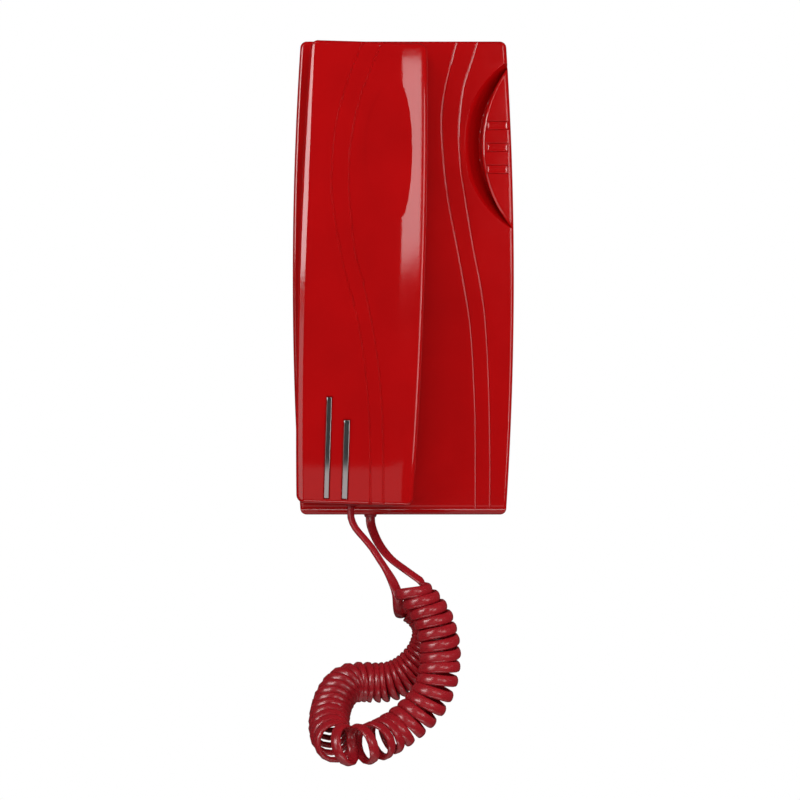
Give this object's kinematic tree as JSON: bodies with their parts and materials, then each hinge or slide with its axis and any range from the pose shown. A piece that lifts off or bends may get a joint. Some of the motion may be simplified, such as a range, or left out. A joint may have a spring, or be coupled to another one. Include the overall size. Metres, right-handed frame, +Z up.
{
  "type": "wall phone",
  "caption": "Slim wall phone: a lift-off handset hangs at a slight lean on a shallow base with small side keys, joined by a curly cord.",
  "frame": {"origin": "on the wall plane, midway between the two wall screw holes, at the middle of the base's back", "axes": "+X to the right as a user faces the phone, +Z up, +Y into the wall, so that the front faces -Y"},
  "size_m": [0.1, 0.0769, 0.3217],
  "materials": {
    "red_shell": "gloss moulded",
    "red_rear": "satin moulded",
    "cord": "semi-gloss",
    "cord_relief": "satin",
    "bright_trim": "polished",
    "steel": "bright zinc",
    "board": "solder mask",
    "terminal_plastic": "moulded",
    "terminal_brass": "bright",
    "black_plastic": "moulded",
    "winding": "taped",
    "capacitor_sleeve": "gloss sleeve",
    "soft_seal": "soft",
    "wire_sleeve": "satin"
  },
  "bodies": {
    "base": {"base_front_cover": "red_shell", "base_rear_cover": "red_rear", "cover_screw": "steel", "main_board": "board", "board_screws": "steel", "terminal_block": "terminal_plastic", "terminal_screws": "terminal_brass", "call_buzzer": "black_plastic", "audio_transformer": "winding", "line_capacitor": "capacitor_sleeve", "hook_spring": "steel", "hook_switch": "black_plastic", "key_board": "board", "key_switches": "black_plastic", "key_board_screws": "steel", "key_wires": "wire_sleeve", "base_strain_relief": "cord_relief", "base_wires": "wire_sleeve", "cord_lead_base": "cord", "cord_coil": "cord", "cord_lead_handset": "cord"},
    "handset": {"handset_front_shell": "red_shell", "handset_back_shell": "red_shell", "handset_screws": "steel", "screw_caps": "red_shell", "receiver_capsule": "black_plastic", "receiver_seal": "soft_seal", "microphone_capsule": "steel", "microphone_boot": "soft_seal", "ballast_weight": "steel", "trim_bar_long": "bright_trim", "trim_bar_short": "bright_trim", "handset_strain_relief": "cord_relief", "handset_wires": "wire_sleeve"},
    "hook_plunger": {"hook_plunger": "black_plastic"},
    "key_top": {"key_top": "red_shell"},
    "key_middle": {"key_middle": "red_shell"},
    "key_bottom": {"key_bottom": "red_shell"}
  },
  "joints": [
    {"name": "handset_lift", "type": "slide", "parent": "base", "child": "handset", "axis": [0.0157, -0.866, 0.4998], "range_m": [0, 0.06]},
    {"name": "hook_travel", "type": "slide", "parent": "base", "child": "hook_plunger", "axis": [0, -1, 0], "range_m": [0, 0.004]},
    {"name": "key_top_press", "type": "slide", "parent": "base", "child": "key_top", "axis": [0, 1, 0], "range_m": [0, 0.0006], "stiffness_N_per_m": 600, "springref_m": -0.0008},
    {"name": "key_middle_press", "type": "slide", "parent": "base", "child": "key_middle", "axis": [0, 1, 0], "range_m": [0, 0.0006], "stiffness_N_per_m": 600, "springref_m": -0.0008},
    {"name": "key_bottom_press", "type": "slide", "parent": "base", "child": "key_bottom", "axis": [0, 1, 0], "range_m": [0, 0.0006], "stiffness_N_per_m": 600, "springref_m": -0.0008}
  ],
  "couplings": [
    {"joint": "hook_travel", "follows": "handset_lift", "ratio": 0.0666}
  ]
}
